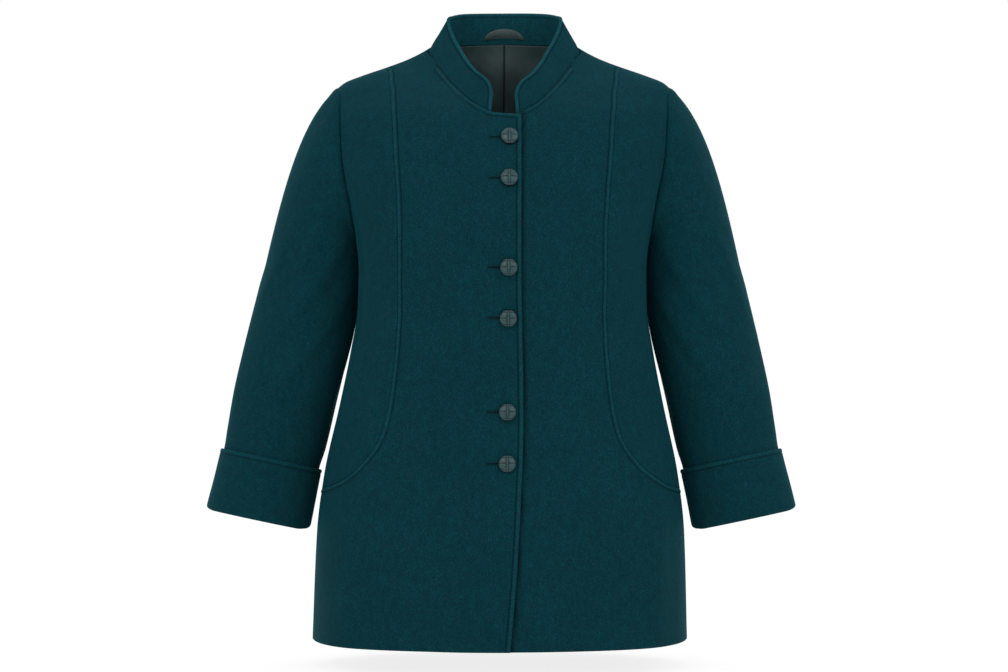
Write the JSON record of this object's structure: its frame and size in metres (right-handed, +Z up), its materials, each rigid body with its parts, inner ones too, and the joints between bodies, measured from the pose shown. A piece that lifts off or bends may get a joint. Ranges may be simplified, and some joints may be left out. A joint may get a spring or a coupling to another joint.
{
  "type": "overcoat",
  "caption": "Short wool overcoat with a stand collar, curved hip seams, turned cuffs and woven buttons in pairs, hollow as when worn.",
  "frame": {"origin": "middle of the neck, level with the points where the shoulder seams meet the collar", "axes": "+Z up toward the collar, the closed front faces -Y, +X is the wearer's left"},
  "size_m": [0.7548, 0.2865, 0.8074],
  "materials": {
    "wool": "matt brushed wool melton",
    "lining": "smooth satin",
    "buttons": "semi-gloss woven leather"
  },
  "bodies": {
    "root": {"front_right": "wool", "front_left": "wool", "side_front_right": "wool", "side_front_left": "wool", "back_right": "wool", "back_left": "wool", "collar": "wool", "sleeve_upper_right": "wool", "sleeve_under_right": "wool", "cuff_right": "wool", "sleeve_upper_left": "wool", "sleeve_under_left": "wool", "cuff_left": "wool", "lining_back": "lining", "hanger_loop": "lining", "button_1": "buttons", "button_2": "buttons", "button_3": "buttons", "button_4": "buttons", "button_5": "buttons", "button_6": "buttons"}
  },
  "joints": []
}
